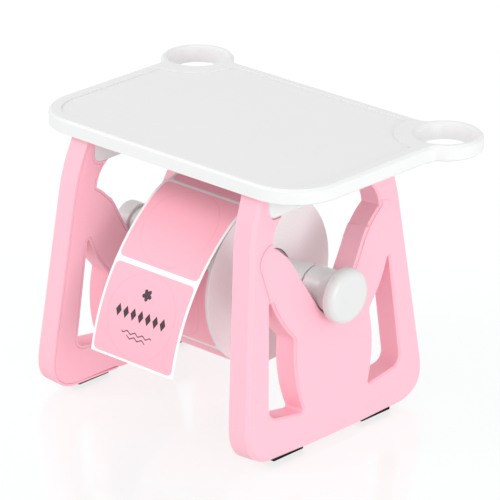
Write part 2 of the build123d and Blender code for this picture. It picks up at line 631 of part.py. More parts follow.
def plug(neck_end):
    """A right-hand tapered plug, with a narrower neck up to the barrel that its spigot is glued into."""
    bore = ROD_RADIUS + FIT_GAP
    neck = PLUG_LARGE_RADIUS - SEAM_DEPTH
    part = turned(
        FRAME_Y, SPINDLE_Z,
        (PLUG_TIP_X, bore), (PLUG_TIP_X, PLUG_TIP_RADIUS), (PLUG_END_X, PLUG_LARGE_RADIUS),
        (PLUG_END_X, neck), (neck_end, neck), (neck_end, SPIGOT_RADIUS),
        (BARREL_START_X + SPIGOT_LENGTH, SPIGOT_RADIUS), (BARREL_START_X + SPIGOT_LENGTH, bore),
    )
    return chamfer(edges_at(part, PLUG_TIP_X, PLUG_TIP_RADIUS), PLUG_TIP_CHAMFER)


# Roll of labels

def tube(inner, outer, width):
    """A tube about the roll's axis."""
    low = ROLL_X - width / 2
    high = ROLL_X + width / 2
    return turned(FRAME_Y, ROLL_Z, (low, inner), (low, outer), (high, outer), (high, inner))


def path_point(along, rise):
    """A point of the liner's path: on the roll before it leaves it, then on the hanging arc."""
    leave = radians(STRIP_LEAVE_ANGLE)
    radius = STRIP_RADIUS if along < 0 else STRIP_HANG_RADIUS
    angle = leave + along / radius
    back = STRIP_RADIUS - radius
    y = FRAME_Y - back * sin(leave) - (radius + rise) * sin(angle)
    return (ROLL_X, y, ROLL_Z + back * cos(leave) + (radius + rise) * cos(angle))


def roll_point(angle, radius):
    """A point round the roll's axis, at an angle from its top towards the front."""
    return (ROLL_X, FRAME_Y - radius * sin(angle), ROLL_Z + radius * cos(angle))


def sheet(point, stops, low, high, width):
    """A sheet along a path of arcs between stops, from one rise to another."""
    edges = []
    for start, end in zip(stops, stops[1:]):
        middle = (start + end) / 2
        edges += ThreePointArc(point(start, low), point(middle, low), point(end, low)).edges()
        edges += ThreePointArc(point(start, high), point(middle, high), point(end, high)).edges()
    edges += Line(point(stops[0], low), point(stops[0], high)).edges()
    edges += Line(point(stops[-1], low), point(stops[-1], high)).edges()
    return extrude(make_face(edges), amount=width / 2, both=True)


def label(point, stops, low, high):
    """A label with rounded corners."""
    part = sheet(point, stops, low, high, LABEL_WIDTH)
    short = [edge for edge in part.edges() if abs(edge.length - (high - low)) < FIT_GAP / 2]
    return fillet(short, LABEL_CORNER_RADIUS)


def roll_labels():
    """The labels on the outer turn of the roll, behind the gap where the strip begins."""
    first = radians(STRIP_GAP_ANGLE) - LABEL_GAP / 2 / ROLL_RADIUS
    starts = [first - count * LABEL_PITCH / ROLL_RADIUS for count in range(ROLL_LABEL_COUNT)]
    last = first + LABEL_GAP / ROLL_RADIUS - 2 * pi
    ends = [max(start - LABEL_LENGTH / ROLL_RADIUS, last) for start in starts]
    low = WOUND_RADIUS + LABEL_LIFT
    return Part() + [label(roll_point, [start, end], low, ROLL_RADIUS) for start, end in zip(starts, ends)]


def label_strip():
    """The end of the liner, from a gap between two labels to its free edge."""
    return sheet(path_point, [STRIP_START, 0, STRIP_END], 0, LINER_THICKNESS, LINER_WIDTH)


def strip_labels():
    """The two labels on the strip, the first of which bends off the roll."""
    low = LINER_THICKNESS + LABEL_LIFT
    high = low + LABEL_THICKNESS
    first = STRIP_START + LABEL_GAP / 2
    upper = label(path_point, [first, 0, first + LABEL_LENGTH], low, high)
    lower = label(path_point, [first + LABEL_PITCH, first + LABEL_PITCH + LABEL_LENGTH], low, high)
    return Part() + upper + lower


# Export

def left_of(part):
    """The left-hand twin of a right-hand part."""
    return mirror(part, about=Plane.YZ)


frame_right = side_frame()
cover_right = frame_cover()
screws_right = cover_screws()
pad_front = foot_pad(-1)
pad_rear = foot_pad(1)
NODES = {
    "tray_deck": tray_deck(),
    "side_frame_right": frame_right,
    "side_frame_left": left_of(frame_right),
    "frame_cover_right": cover_right,
    "frame_cover_left": left_of(cover_right),
    "cover_screws_right": screws_right,
    "cover_screws_left": left_of(screws_right),
    "foot_pad_front_right": pad_front,
    "foot_pad_rear_right": pad_rear,
    "foot_pad_front_left": left_of(pad_front),
    "foot_pad_rear_left": left_of(pad_rear),
    "axle_rod": axle_rod(),
    "grip_ring": grip_ring(),
    "knob_right": knob(),
    "hub_left": left_of(hub()),
    "plug_right": plug(BARREL_START_X),
    "plug_left": left_of(plug(HUB_START_X)),
    "roll_core": tube(CORE_BORE_RADIUS, CORE_RADIUS, LINER_WIDTH),
    "label_roll": tube(CORE_RADIUS + RUNNING_GAP, WOUND_RADIUS, LINER_WIDTH),
    "roll_labels": roll_labels(),
    "label_strip": label_strip(),
    "strip_labels": strip_labels(),
}
os.makedirs("parts", exist_ok=True)
for name, shape in NODES.items():
    export_step(shape, "parts/" + name + ".step")
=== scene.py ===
"""Looks of a label roll holder: a white tray on two pink side frames, which carry a spindle and a roll.

Metres, +Z up, +X to the right along the spindle. The frame's nodes give the places, and the named
sizes below, in millimetres, repeat the driving dimensions of the frames, the roll and the strip.
"""

import json
from math import cos, pi, radians, sin

import bmesh
import bpy
import numpy as np
from mathutils import Matrix, Vector

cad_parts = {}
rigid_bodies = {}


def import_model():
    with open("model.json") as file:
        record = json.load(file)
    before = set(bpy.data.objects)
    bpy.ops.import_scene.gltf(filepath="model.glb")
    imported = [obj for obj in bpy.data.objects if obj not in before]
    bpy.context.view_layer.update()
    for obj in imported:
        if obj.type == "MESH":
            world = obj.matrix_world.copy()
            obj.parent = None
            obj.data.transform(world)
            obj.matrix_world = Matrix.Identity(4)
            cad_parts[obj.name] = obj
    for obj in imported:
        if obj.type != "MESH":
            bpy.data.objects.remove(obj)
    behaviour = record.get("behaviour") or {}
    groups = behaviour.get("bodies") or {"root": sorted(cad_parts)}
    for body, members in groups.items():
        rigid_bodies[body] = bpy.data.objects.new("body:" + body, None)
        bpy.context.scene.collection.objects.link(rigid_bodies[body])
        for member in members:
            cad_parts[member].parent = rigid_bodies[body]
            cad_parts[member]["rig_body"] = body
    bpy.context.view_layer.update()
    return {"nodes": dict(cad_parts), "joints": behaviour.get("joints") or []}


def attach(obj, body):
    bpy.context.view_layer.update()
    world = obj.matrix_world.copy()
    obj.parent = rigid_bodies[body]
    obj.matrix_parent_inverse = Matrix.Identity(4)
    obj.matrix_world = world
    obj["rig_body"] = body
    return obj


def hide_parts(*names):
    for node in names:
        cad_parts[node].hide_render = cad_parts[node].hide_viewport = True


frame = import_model()
NODES = frame["nodes"]
MM = 0.001

# Places of the two axes
JOINT_Z = {joint["name"]: joint["pos_m"][2] / MM for joint in frame["joints"] if "pos_m" in joint}
ROLL_Z = JOINT_Z["roll_spin"]
SPINDLE_Z = JOINT_Z["spindle_spin"]

# Side frames: the outline's sizes, as distances out from the middle and heights along the leaning panel
FRAME_Y = -7.5
FRAME_FOOT_X = 70.3
FRAME_HEIGHT = 128.7
FRAME_LEAN_IN = 9.6
PANEL_LEAN = np.arctan(FRAME_LEAN_IN / FRAME_HEIGHT)
LEG_FOOT_OUT = 62.6
LEG_TAPER = 15.0
LEG_TILT = np.arctan(LEG_TAPER / FRAME_HEIGHT)
TRAY_UNDERSIDE_Z = 129.0
RAIL_END_OUT = 46.0

# Foot corners: centre of the solid's arc, push outwards, its depth, and least distance from the centre
CORNER_OUT = 40.08
CORNER_H = 23.0
CORNER_PUSH = 2.4
CORNER_DEPTH = 14.0
NEAR_CENTRE = 1.0

# Leg tops: where they start to lean in, by how much, and how deep this reaches
TOP_START_H = 103.0
TOP_END_H = 124.0
TOP_SHARE_LIMIT = 1.2
TOP_DRAW = 3.2
TOP_DEPTH = 10.0
TOP_FADE = 8.0
TOP_CUTS = (106.0, 109.0, 112.0, 114.5, 117.0, 119.5, 122.0, 124.5)

# Arch between the feet
ARCH_OUT = 18.0
ARCH_SLOPE = 4.0
ARCH_DROP = 1.4
ARCH_DEPTH = 12.0
ARCH_FADE = 5.0

# Tops of the ears, from the cusp at the leg down to the V's flank
EAR_CUSP = np.array((36.4, 103.2))
EAR_FOOT = np.array((18.0, 81.65))
EAR_ACROSS = (-0.76, 0.65)
EAR_CORNER_SHARE = 0.423
EAR_CORNER_RISE = 2.15
EAR_GROWTH_SHARES = (-0.16, 0.0, 0.1, 0.22, 0.34, 0.423, 0.5, 0.62, 0.8, 1.0)
EAR_GROWTH = (0.0, 0.5, 0.85, 0.88, 0.67, 0.35, 0.58, 0.68, 0.36, 0.0)
EAR_DEPTH = 9.0
EAR_FADE = 6.0
EAR_CUTS = (83.0, 85.5, 87.5, 89.5, 91.0, 92.3, 93.5, 94.7, 96.0, 97.0, 98.5, 100.0, 101.5)

# Covers: radius of the rim's foot corner, seam over the rim, top of the lower edge, and its cuts
COVER_CORNER = 18.8
COVER_SEAM = 0.15
COVER_EDGE_Z = 6.5
COVER_CUTS_OUT = (-46.8, -43.4, -40.1, -18.0, -14.0, 14.0, 18.0, 40.1, 43.4, 46.8)

# Knob, hub and plugs
BARREL_START_X = 54.6
BARREL_RADIUS = 9.8
BARREL_LENGTH = 9.4
BARREL_BORE = 7.15
BARREL_ROUNDING = 0.6
BARREL_BLEND = 0.5
FLARE_LENGTH = 7.4
FLARE_SAG = 0.8
FLARE_POINTS_CUT = 3
CAP_RADIUS = 13.3
CAP_THICKNESS = 5.8
CAP_BACK_ROUNDING = 1.1
CAP_FRONT_ROUNDING = 4.0
CAP_FLAT_RADIUS = 7.0
HUB_START_X = 58.0
HUB_LENGTH = 8.4
HUB_BACK_ROUNDING = 0.4
HUB_FRONT_ROUNDING = 0.9
PLUG_TIP_X = 16.9
PLUG_END_X = 53.4
PLUG_BORE = 4.05
PLUG_TIP_RADIUS = 6.5
PLUG_TIP_ROUNDING = 0.9
PLUG_LARGE_RADIUS = 9.6
PLUG_END_ROUNDING = 0.3
NECK_RADIUS = 8.4
NECK_OVERLAP = 0.05
SPINDLE_SEGMENTS = 128

# Roll and its core
ROLL_X = -0.7
ROLL_RADIUS = 41.6
ROLL_SEGMENTS = 256
LINER_WIDTH = 53.0
CORE_BORE_RADIUS = 12.7
CORE_WALL = 2.0
CORE_CHAMFER_IN = 0.3
CORE_CHAMFER_OUT = 0.2
CORE_SEGMENTS = 128
TURN_GAP = 0.3
SIDE_RINGS = 28
SIDE_CROWDING = 0.9
SIDE_TOP_DEPTH = 0.25
FACE_EDGE = ((0.02, 0.08), (0.12, 0.0))

# Labels and the strip
LABEL_WIDTH = 50.0
LABEL_LENGTH = 42.8
LABEL_GAP = 2.6
LABEL_PITCH = LABEL_LENGTH + LABEL_GAP
LABEL_CORNER = 2.6
LABEL_CORNER_STEPS = 9
LABEL_THICKNESS = 0.16
LABEL_ROWS = 72
SHEET_COLUMNS = 20
LINER_THICKNESS = 0.14
LINER_ROWS = 120
WOUND_RADIUS = ROLL_RADIUS - LABEL_THICKNESS
STRIP_LEAVE = radians(38.0)
STRIP_GAP = radians(18.3)
STRIP_HANG_RADIUS = 105.0
STRIP_END_MARGIN = 1.2
STRIP_LIFT = 0.35
STRIP_RADIUS = ROLL_RADIUS + STRIP_LIFT
STRIP_START = -(STRIP_LEAVE - STRIP_GAP) * STRIP_RADIUS
STRIP_END = STRIP_START + LABEL_GAP / 2 + 2 * LABEL_LENGTH + LABEL_GAP + STRIP_END_MARGIN

# Printed design, placed across and along from the label's middle
LABEL_DIE_RADIUS = 20.6
DIE_LINE = 0.35
DIE_LINE_SHARE = 0.35
LOZENGE_PITCH = 4.7
LOZENGE_HALF_WIDTH = 1.8
LOZENGE_HALF_HEIGHT = 3.1
LOZENGE_EDGE = 1.5
ROW_HALF_LENGTH = 16.4
FLOWER_UP = 10.5
FLOWER_RADIUS = 3.0
FLOWER_DENT = 0.4
FLOWER_TURNS = 2.5
WAVES = ((8.6, 9.5), (10.8, 6.0))
WAVE_RATE = 1.3
WAVE_SIZE = 0.55
WAVE_HALF_LINE = 0.28
INK_EDGE = 0.09

# Colours, linear
FRAME_PINK = (0.96, 0.485, 0.578)
FRAME_PINK_SHADE = (0.95, 0.472, 0.565)
TRAY_WHITE = (0.775, 0.775, 0.775)
TRAY_WHITE_SHADE = (0.76, 0.76, 0.763)
KNOB_WHITE = (0.69, 0.695, 0.69)
KNOB_WHITE_SHADE = (0.68, 0.685, 0.68)
LABEL_PINK = (0.97, 0.44, 0.53)
LABEL_PINK_SHADE = (0.95, 0.42, 0.515)
LABEL_LINE_PINK = (0.72, 0.27, 0.36)
LABEL_INK = (0.035, 0.018, 0.028)
PAD_BLACK = (0.008, 0.003, 0.005)
PAD_BLACK_DARK = (0.005, 0.002, 0.003)
PAD_BLACK_LIGHT = (0.012, 0.005, 0.008)
SCREW_STEEL = (0.5, 0.51, 0.52)
ROD_STEEL = (0.62, 0.63, 0.64)
BOARD_GREY = (0.3, 0.27, 0.25)
BOARD_GREY_DARK = (0.24, 0.21, 0.19)
BOARD_GREY_LIGHT = (0.36, 0.33, 0.3)
WOUND_WHITE = (0.8, 0.78, 0.78)
WOUND_WHITE_DARK = (0.78, 0.79, 0.79)
WOUND_WHITE_LIGHT = (0.9, 0.91, 0.905)
LINER_WHITE = (0.88, 0.87, 0.87)
LINER_WHITE_DARK = (0.86, 0.845, 0.85)
LINER_WHITE_LIGHT = (0.92, 0.91, 0.91)
FLOOR_GREY = (0.14, 0.145, 0.144)
FLOOR_GLOW_COLOUR = (0.97, 0.99, 0.987, 1)

# Finishes: spread of the moulded gloss, drawn streaks, and the roll's turns as its sides show them
GLOSS_BELOW = 0.05
GLOSS_ABOVE = 0.06
STREAK_SCALE = (20.0, 2500.0, 2500.0)
TURN_PITCH = 0.42
TURN_SHARE = 0.12

# Camera, fitted to the photograph
CAMERA_TURN = radians(43.136)
CAMERA_RISE = radians(22.005)
CAMERA_TARGET = Vector((0.0, 8.58, 62.18)) * MM
CAMERA_RIGHT_SHIFT = -0.972 * MM
CAMERA_UP_SHIFT = 7.0 * MM
CAMERA_DISTANCE = 1891.25 * MM
CAMERA_REACH = 50.0
CAMERA_LENS = 288.0
SENSOR = 36.0

# Light and floor, in metres and watts
HORIZON_LIGHT = 0.96
ZENITH_LIGHT = 0.75
FLOOR_GLOW = 0.77
FLOOR_BOUNCE = 0.72
FLOOR_HALF = 6.0
LIGHT_AIM = (0, 0, 0.06)
KEY_LIGHT = {"place": (1.8, -0.5, 0.4), "size": 1.2, "power": 17.0}
FILL_LIGHT = {"place": (-1.0, -1.3, 1.3), "size": 0.8, "power": 13.0}

# Finish of every mesh
SHARP_EDGE = radians(32)
MERGE_DISTANCE = 2e-6
CUT_TOLERANCE = 1e-7
EVERYWHERE = 1000.0


# Meshes

def as_object(name, mesh, material, body):
    """Puts a finished mesh into the scene on a body, smooth but for its sharp edges."""
    mesh.polygons.foreach_set("use_smooth", np.ones(len(mesh.polygons), bool))
    mesh.set_sharp_from_angle(angle=SHARP_EDGE)
    mesh.materials.clear()
    mesh.materials.append(material)
    piece = bpy.data.objects.new(name, mesh)
    bpy.context.scene.collection.objects.link(piece)
    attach(piece, body)
    return piece


def grid_mesh(name, points, wrap_u=False, wrap_v=False, capped=False):
    """A mesh from a grid of points of shape (u, v, 3), closed round u or v where asked.

    Where it is capped, its first and last rows are closed too: point k of a row's first half, point k + 1
    and the two points that lie opposite them in its second half make one face.
    """
    rows, columns = points.shape[:2]
    index = np.arange(rows * columns).reshape(rows, columns)
    near, far = index[[0, -1], :columns // 2], index[[0, -1], :columns // 2 - 1:-1]
    if wrap_u:
        index = np.vstack([index, index[:1]])
    if wrap_v:
        index = np.hstack([index, index[:, :1]])
    faces = np.stack([index[:-1, :-1], index[1:, :-1], index[1:, 1:], index[:-1, 1:]], axis=-1).reshape(-1, 4)
    if capped:
        caps = np.stack([near[:, :-1], near[:, 1:], far[:, 1:], far[:, :-1]], axis=-1).reshape(-1, 4)
        faces = np.vstack([faces, caps])
    mesh = bpy.data.meshes.new(name)
    mesh.from_pydata((points.reshape(-1, 3) * MM).tolist(), [], faces.tolist())
    return mesh


def cleaned(mesh):
    """Merges a mesh's doubles, closes its poles and turns its faces outwards."""
    shell = bmesh.new()
    shell.from_mesh(mesh)
    bmesh.ops.remove_doubles(shell, verts=shell.verts, dist=MERGE_DISTANCE)
    bmesh.ops.dissolve_degenerate(shell, edges=shell.edges, dist=MERGE_DISTANCE)
    bmesh.ops.recalc_face_normals(shell, faces=shell.faces)
    shell.to_mesh(mesh)
    shell.free()
    return mesh


def cut_through(mesh, axis, places):
    """Cuts a mesh by planes across an axis at the given places in mm."""
    shell = bmesh.new()
    shell.from_mesh(mesh)
    across = Vector((0, 0, 0))
    across[axis] = 1
    for place in places:
        parts = list(shell.verts) + list(shell.edges) + list(shell.faces)
        bmesh.ops.bisect_plane(shell, geom=parts, dist=CUT_TOLERANCE, plane_co=across * place * MM,
                               plane_no=across)
    shell.to_mesh(mesh)
    shell.free()


def moved(mesh, rule, below=EVERYWHERE, within=EVERYWHERE):
    """Moves a mesh's points by a rule in mm: those under a height and within a distance of the middle."""
    points = np.empty(3 * len(mesh.vertices))
    mesh.vertices.foreach_get("co", points)
    points = points.reshape(-1, 3) / MM
    chosen = (points[:, 2:] < below) & (np.abs(points[:, 1:2] - FRAME_Y) < within)
    points = np.where(chosen, rule(points), points) * MM
    mesh.vertices.foreach_set("co", points.ravel())
    mesh.update()


# Side frames, covers, tray and pads

def eased(share):
    """A share from 0 to 1, eased at both ends: 3 s^2 - 2 s^3."""
    share = np.clip(share, 0.0, 1.0)
    return share * share * (3 - 2 * share)


def panel_height(x, z):
    """A point's height along the leaning panel: z cos(lean) + (foot x - |x|) sin(lean)."""
    return z * np.cos(PANEL_LEAN) + (FRAME_FOOT_X - np.abs(x)) * np.sin(PANEL_LEAN)


def raised(x, z, rise):
    """A point raised along the leaning panel: |x| falls by rise sin(lean), z grows by rise cos(lean)."""
    return x - np.sign(x) * rise * np.sin(PANEL_LEAN), z + rise * np.cos(PANEL_LEAN)


def ear_growth(out, height):
    """How far a point of the ears' tops moves out across the line from EAR_CUSP to EAR_FOOT.

    The amount follows EAR_GROWTH along that line and fades out within the panel, at a depth below the
    solid's two straight sides, which meet EAR_CORNER_RISE above the line.
    """
    line = EAR_FOOT - EAR_CUSP
    length = np.hypot(*line)
    from_out, from_height = out - EAR_CUSP[0], height - EAR_CUSP[1]
    share = (from_out * line[0] + from_height * line[1]) / length ** 2
    above = (from_out * line[1] - from_height * line[0]) / length
    side = np.interp(share, (0.0, EAR_CORNER_SHARE, 1.0), (0.0, EAR_CORNER_RISE, 0.0))
    growth = np.interp(share, EAR_GROWTH_SHARES, EAR_GROWTH)
    return growth * eased((EAR_DEPTH - side + above) / EAR_FADE)


def frame_shaped(points):
    """Finishes a side frame's outline: takes points in mm and gives them moved in the leaning panel.

    Each foot corner is tightened: a point at the share t of the turn round the corner's centre moves
    away from it by CORNER_PUSH * sin(pi t)^2. The legs' outer edges lean in near the top by
    TOP_DRAW * s^2, with s the share of the way from TOP_START_H to TOP_END_H. The arch between the
    feet is lowered by ARCH_DROP. The ears' tops grow to a round curve.
    """
    x, y, z = points.T
    end = np.sign(y - FRAME_Y)
    out = np.abs(y - FRAME_Y)
    height = panel_height(x, z)
    from_out, from_height = out - CORNER_OUT, height - CORNER_H
    distance = np.hypot(from_out, from_height)
    turn = (np.arctan2(from_height, from_out) + np.pi / 2) / (np.pi / 2 + LEG_TILT)
    depth = np.clip(distance / CORNER_DEPTH, 0, 1) ** 3
    push = CORNER_PUSH * np.sin(np.pi * np.clip(turn, 0, 1)) ** 2 * depth / np.maximum(distance, NEAR_CENTRE)
    edge_out = LEG_FOOT_OUT - height * np.tan(LEG_TILT)
    lean = np.clip((height - TOP_START_H) / (TOP_END_H - TOP_START_H), 0, TOP_SHARE_LIMIT)
    draw = TOP_DRAW * lean ** 2 * eased((out - edge_out + TOP_DEPTH) / TOP_FADE)
    arch = np.clip((ARCH_OUT - out) / ARCH_SLOPE, 0, 1)
    drop = ARCH_DROP * arch * eased((ARCH_DEPTH - height) / ARCH_FADE)
    growth = ear_growth(out, height)
    x, z = raised(x, z, push * from_height - drop + growth * EAR_ACROSS[1])
    y = FRAME_Y + end * (out + push * from_out - draw + growth * EAR_ACROSS[0])
    return np.stack([x, y, z], axis=-1)


def cover_lowered(points):
    """Draws a cover's lower edge down to the rim round its recess.

    The rim's height is H - sqrt(R^2 - d^2) at a distance d past the foot corner's centre.
    """
    x, y, z = points.T
    past = np.clip(np.abs(y - FRAME_Y) - CORNER_OUT, 0.0, COVER_CORNER)
    rim = CORNER_H - np.sqrt(COVER_CORNER ** 2 - past ** 2) + COVER_SEAM
    fall = np.where(z < COVER_EDGE_Z, panel_height(x, z) - rim, 0.0)
    x, z = raised(x, z, -fall)
    return np.stack([x, y, z], axis=-1)


def frame_finished(mesh):
    """A side frame with its foot corners, leg tops, arch and ears finished."""
    cut_through(mesh, 2, EAR_CUTS + TOP_CUTS)
    moved(mesh, frame_shaped)


def cover_finished(mesh):
    """A cover that follows its finished frame and reaches the frame's lower rim."""
    cut_through(mesh, 1, [FRAME_Y + out for out in COVER_CUTS_OUT])
    moved(mesh, cover_lowered)
    frame_finished(mesh)


def tray_finished(mesh):
    """The tray with the ends of its rails drawn in, as the leg tops round them are."""
    moved(mesh, frame_shaped, TRAY_UNDERSIDE_Z, RAIL_END_OUT)


def moulded(node, name, material, finish=None):
    """A welded copy of a moulded node, with smooth roundings and flat faces kept flat."""
    mesh = NODES[node].data.copy()
    for stored in ("custom_normal", "sharp_edge"):
        if stored in mesh.attributes:
            mesh.attributes.remove(mesh.attributes[stored])
    cleaned(mesh)
    if finish:
        finish(mesh)
    piece = as_object(name, mesh, material, NODES[node]["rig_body"])
    even = piece.modifiers.new("even shading", "WEIGHTED_NORMAL")
    even.keep_sharp = True
    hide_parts(node)


def repainted(node, material):
    """Gives a node of the frame its material and keeps its shape."""
    NODES[node].data.materials.clear()
    NODES[node].data.materials.append(material)


# Turned pieces

def rounded_profile(corners, steps=8):
    """A profile of (x, radius) through corners of (x, radius, rounding).

    Each corner is replaced by an arc that touches both of its sides: its centre lies on the corner's
    bisector at rounding / sin(half angle), and the arc runs between the two touching points.
    """
    points = []
    for number, (x, r, rounding) in enumerate(corners):
        here = np.array((x, r))
        if not rounding or number in (0, len(corners) - 1):
            points.append(here[None])
            continue
        before = np.array(corners[number - 1][:2]) - here
        after = np.array(corners[number + 1][:2]) - here
        before = before / np.linalg.norm(before)
        after = after / np.linalg.norm(after)
        half = np.arccos(np.clip(before @ after, -1, 1)) / 2
        centre = here + (before + after) / np.linalg.norm(before + after) * rounding / np.sin(half)
        start = here + before * rounding / np.tan(half) - centre
        end = here + after * rounding / np.tan(half) - centre
        share = np.linspace(0, 1, steps)[:, None]
        arc = start * (1 - share) + end * share
        arc = arc / np.linalg.norm(arc, axis=1, keepdims=True) * rounding
        points.append(centre + arc)
    return np.vstack(points)


def hollow_arc(start, end, sagitta, steps=18):
    """Points of a round arc that sags below its chord: its radius is (c^2 / 4 + s^2) / 2 s."""
    start, end = np.array(start), np.array(end)
    chord = end - start
    length = np.linalg.norm(chord)
    radius = (length ** 2 / 4 + sagitta ** 2) / (2 * sagitta)
    above = np.array((-chord[1], chord[0])) / length
    centre = (start + end) / 2 + above * (radius - sagitta)
    half = np.arcsin(length / 2 / radius)
    turn = np.linspace(-half, half, steps)[:, None]
    return centre + radius * (np.sin(turn) * chord / length - np.cos(turn) * above)


def lathe(name, profile, centre_z, segments, closed=False):
    """A profile of (x, radius) turned about an axis along X: (x, r cos a, r sin a)."""
    angle = np.linspace(0, 2 * pi, segments, endpoint=False)
    x = np.repeat(profile[:, :1], segments, axis=1)
    y = FRAME_Y + profile[:, 1:] * np.cos(angle)[None]
    z = centre_z + profile[:, 1:] * np.sin(angle)[None]
    return cleaned(grid_mesh(name, np.stack([x, y, z], axis=-1), wrap_u=closed, wrap_v=True))


def make_spindle(plastic):
    """The capped knob, the plain hub and both plugs, turned from smooth profiles."""
    flare_start = BARREL_START_X + BARREL_LENGTH
    cap_back = flare_start + FLARE_LENGTH
    front = cap_back + CAP_THICKNESS
    flare = hollow_arc((flare_start, BARREL_RADIUS), (cap_back, CAP_RADIUS), FLARE_SAG)
    barrel = rounded_profile([
        (BARREL_START_X, BARREL_BORE, 0),
        (BARREL_START_X, BARREL_RADIUS, BARREL_ROUNDING),
        (flare_start - BARREL_BLEND, BARREL_RADIUS, 0),
    ])
    cap = rounded_profile([
        (*flare[-FLARE_POINTS_CUT], 0),
        (*flare[-1], CAP_BACK_ROUNDING),
        (front, CAP_RADIUS, CAP_FRONT_ROUNDING),
        (front, CAP_FLAT_RADIUS, 0),
        (front, 0.0, 0),
    ], steps=16)
    knob = np.vstack([barrel, flare[:-FLARE_POINTS_CUT], cap])
    hub_end = HUB_START_X + HUB_LENGTH
    hub = rounded_profile([
        (HUB_START_X, BARREL_BORE, 0),
        (HUB_START_X, BARREL_RADIUS, HUB_BACK_ROUNDING),
        (hub_end, BARREL_RADIUS, HUB_FRONT_ROUNDING),
        (hub_end, 0.0, 0),
    ])
    for side, end, end_name, end_profile, end_start, body in (
        (1, "right", "knob_right", knob, BARREL_START_X, "loading_knob"),
        (-1, "left", "hub_left", hub, HUB_START_X, "spindle"),
    ):
        plug = rounded_profile([
            (PLUG_TIP_X, PLUG_BORE, 0),
            (PLUG_TIP_X, PLUG_TIP_RADIUS, PLUG_TIP_ROUNDING),
            (PLUG_END_X, PLUG_LARGE_RADIUS, PLUG_END_ROUNDING),
            (PLUG_END_X, NECK_RADIUS, 0),
            (end_start + NECK_OVERLAP, NECK_RADIUS, 0),
        ])
        for node_name, profile in ((end_name, end_profile), (f"plug_{end}", plug)):
            mesh = lathe(f"{node_name}_skin", profile * (side, 1), SPINDLE_Z, SPINDLE_SEGMENTS)
            piece = as_object(mesh.name, mesh, plastic, body)
            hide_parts(node_name)


# Roll and strip

def on_roll(along, rise):
    """Points round the roll, at a length s back over the top: the angle from the top is gap - s / R."""
    angle = STRIP_GAP - along / ROLL_RADIUS
    radius = WOUND_RADIUS + rise
    return FRAME_Y - radius * np.sin(angle), ROLL_Z + radius * np.cos(angle)


def on_strip(along, rise):
    """Points of the liner's path: round the roll up to length 0, then along the hanging arc.

    The angle is leave + s / R at a length s, and both arcs have the same tangent where they meet.
    """
    radius = np.where(along < 0, STRIP_RADIUS, STRIP_HANG_RADIUS)
    angle = STRIP_LEAVE + along / radius
    back = STRIP_RADIUS - radius
    y = FRAME_Y - back * sin(STRIP_LEAVE) - (radius + rise) * np.sin(angle)
    return y, ROLL_Z + back * cos(STRIP_LEAVE) + (radius + rise) * np.cos(angle)


def sheet_mesh(name, path, start, end, width, low, high, corner, rows):
    """A thin sheet along a path, with round corners and its own flat UV map in metres.

    At a distance d from its end, half its width is W/2 - (c - sqrt(c^2 - (c - d)^2)) for d < c.
    The top and the bottom make one ring of columns, capped at both ends, so the sheet is closed.
    """
    columns = SHEET_COLUMNS
    if corner:
        turn = corner * (1 - np.cos(np.linspace(0, pi / 2, LABEL_CORNER_STEPS)))
        middle = np.linspace(start + corner, end - corner, rows)[1:-1]
        along = np.concatenate([start + turn, middle, end - turn[::-1]])
        near = np.clip(np.minimum(along - start, end - along), 0, corner)
        half = width / 2 - (corner - np.sqrt(np.maximum(corner ** 2 - (corner - near) ** 2, 0)))
    else:
        along = np.linspace(start, end, rows)
        half = np.full(rows, width / 2)
    across = np.linspace(-1, 1, columns)
    x = ROLL_X + half[:, None] * across[None]
    layers = []
    for rise in (low, high):
        y, z = (np.repeat(part[:, None], columns, axis=1) for part in path(along, rise))
        layers.append(np.stack([x, y, z], axis=-1))
    bottom, top = layers
    ring = np.concatenate([top, bottom[:, ::-1]], axis=1)
    mesh = cleaned(grid_mesh(name, ring, wrap_v=True, capped=True))
    from_middle = np.repeat((along - (start + end) / 2)[:, None], columns, axis=1)
    flat = np.stack([x - ROLL_X, from_middle], axis=-1)
    flat = np.concatenate([flat, flat[:, ::-1]], axis=1).reshape(-1, 2) * MM
    corners = np.zeros(len(mesh.loops), int)
    mesh.loops.foreach_get("vertex_index", corners)
    mesh.uv_layers.new(name="flat").data.foreach_set("uv", flat[corners].astype(np.float32).ravel())
    return mesh


